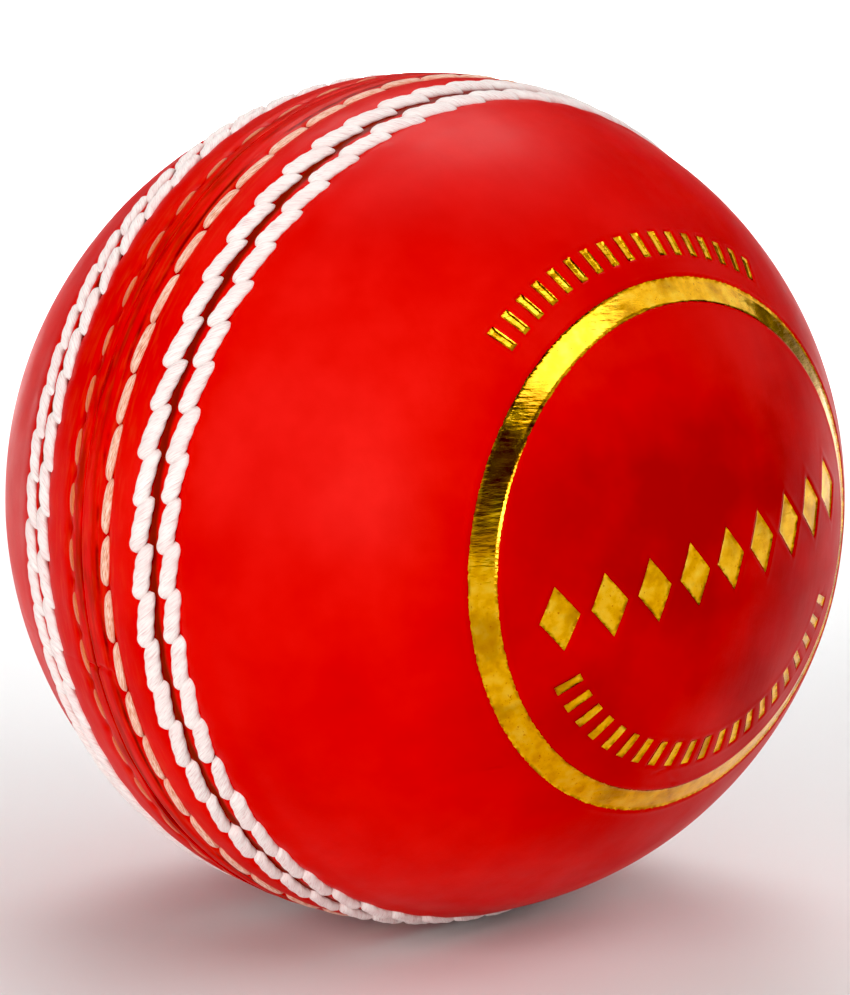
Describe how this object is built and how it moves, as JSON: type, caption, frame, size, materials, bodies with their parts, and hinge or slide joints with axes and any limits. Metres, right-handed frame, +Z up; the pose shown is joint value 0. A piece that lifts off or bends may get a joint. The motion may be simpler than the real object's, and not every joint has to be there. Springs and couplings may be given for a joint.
{
  "type": "cricket ball",
  "caption": "Hard leather-covered ball with a cork and yarn core and a raised, stitched seam round its middle, for bowling and batting.",
  "frame": {"origin": "centre of the ball", "axes": "+X square to the main seam's plane, towards the pole that carries the stamped mark; +Z up along the seam's plane; +Y completes the set"},
  "size_m": [0.072, 0.073, 0.073],
  "materials": {
    "cork": "ground cork, matte",
    "winding_yarn": "tight wound wool yarn",
    "cover_leather": "dyed, waxed and polished smooth",
    "lining_leather": "undyed, matte",
    "hidden_thread": "waxed linen",
    "tan_thread": "waxed linen, stained by the dye",
    "white_thread": "waxed twisted linen",
    "gold_foil": "hot-pressed metallic foil, bright"
  },
  "bodies": {
    "root": {"cork_nucleus": "cork", "yarn_winding_1": "winding_yarn", "cork_layer_1": "cork", "yarn_winding_2": "winding_yarn", "cork_layer_2": "cork", "yarn_winding_3": "winding_yarn", "cork_layer_3": "cork", "yarn_winding_4": "winding_yarn", "cork_layer_4": "cork", "yarn_winding_5": "winding_yarn", "stamped_half_front_quarter": "cover_leather", "stamped_half_rear_quarter": "cover_leather", "plain_half_upper_quarter": "cover_leather", "plain_half_lower_quarter": "cover_leather", "stamped_half_lining_strip": "lining_leather", "plain_half_lining_strip": "lining_leather", "stamped_half_quarter_thread": "hidden_thread", "plain_half_quarter_thread": "hidden_thread", "stamped_side_inner_thread": "tan_thread", "plain_side_inner_thread": "tan_thread", "stamped_side_middle_thread": "white_thread", "stamped_side_outer_thread": "white_thread", "plain_side_middle_thread": "white_thread", "plain_side_outer_thread": "white_thread", "foil_ring": "gold_foil", "foil_lozenges": "gold_foil", "foil_ticks": "gold_foil"}
  },
  "joints": []
}
